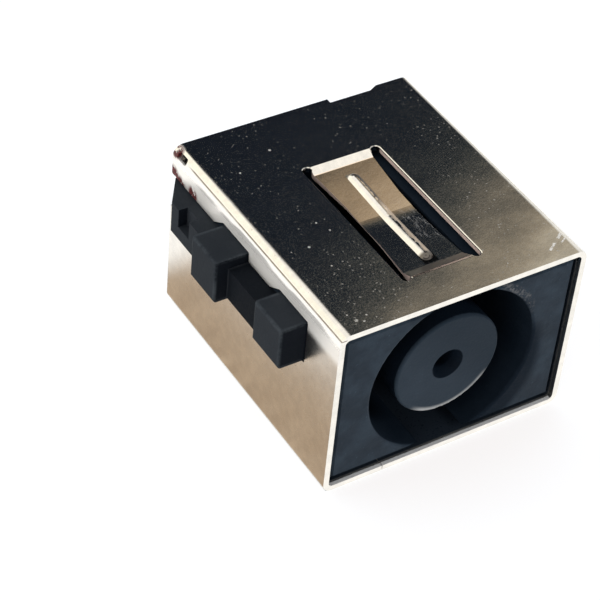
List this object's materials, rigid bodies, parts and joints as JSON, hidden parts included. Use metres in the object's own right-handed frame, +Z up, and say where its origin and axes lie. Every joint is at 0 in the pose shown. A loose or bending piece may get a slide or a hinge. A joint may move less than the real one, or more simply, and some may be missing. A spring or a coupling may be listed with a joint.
{
  "type": "dc barrel jack",
  "caption": "Boxy dc power jack: a folded bright metal shell with a lanced contact strip, round a black moulded socket with centre post and pin hole, and side lugs.",
  "frame": {"origin": "middle of the shell's base, under the plug's axis", "axes": "-Y points out of the socket towards the plug, +Z up from the base to the side with the contact strip, the side lugs are on -X"},
  "size_m": [0.0128, 0.0146, 0.0082],
  "materials": {
    "shell_metal": "bright nickel plate on thin sheet, faint scratches",
    "housing_plastic": "moulded black plastic, soft sheen",
    "post_plastic": "moulded black plastic, a touch lighter than the housing",
    "contact_metal": "plated copper alloy",
    "insulator_plastic": "moulded black plastic"
  },
  "bodies": {
    "root": {"shell": "shell_metal", "housing": "housing_plastic", "centre_post": "post_plastic", "power_contact": "contact_metal", "pin_contact": "contact_metal", "rear_insulator": "insulator_plastic"}
  },
  "joints": []
}
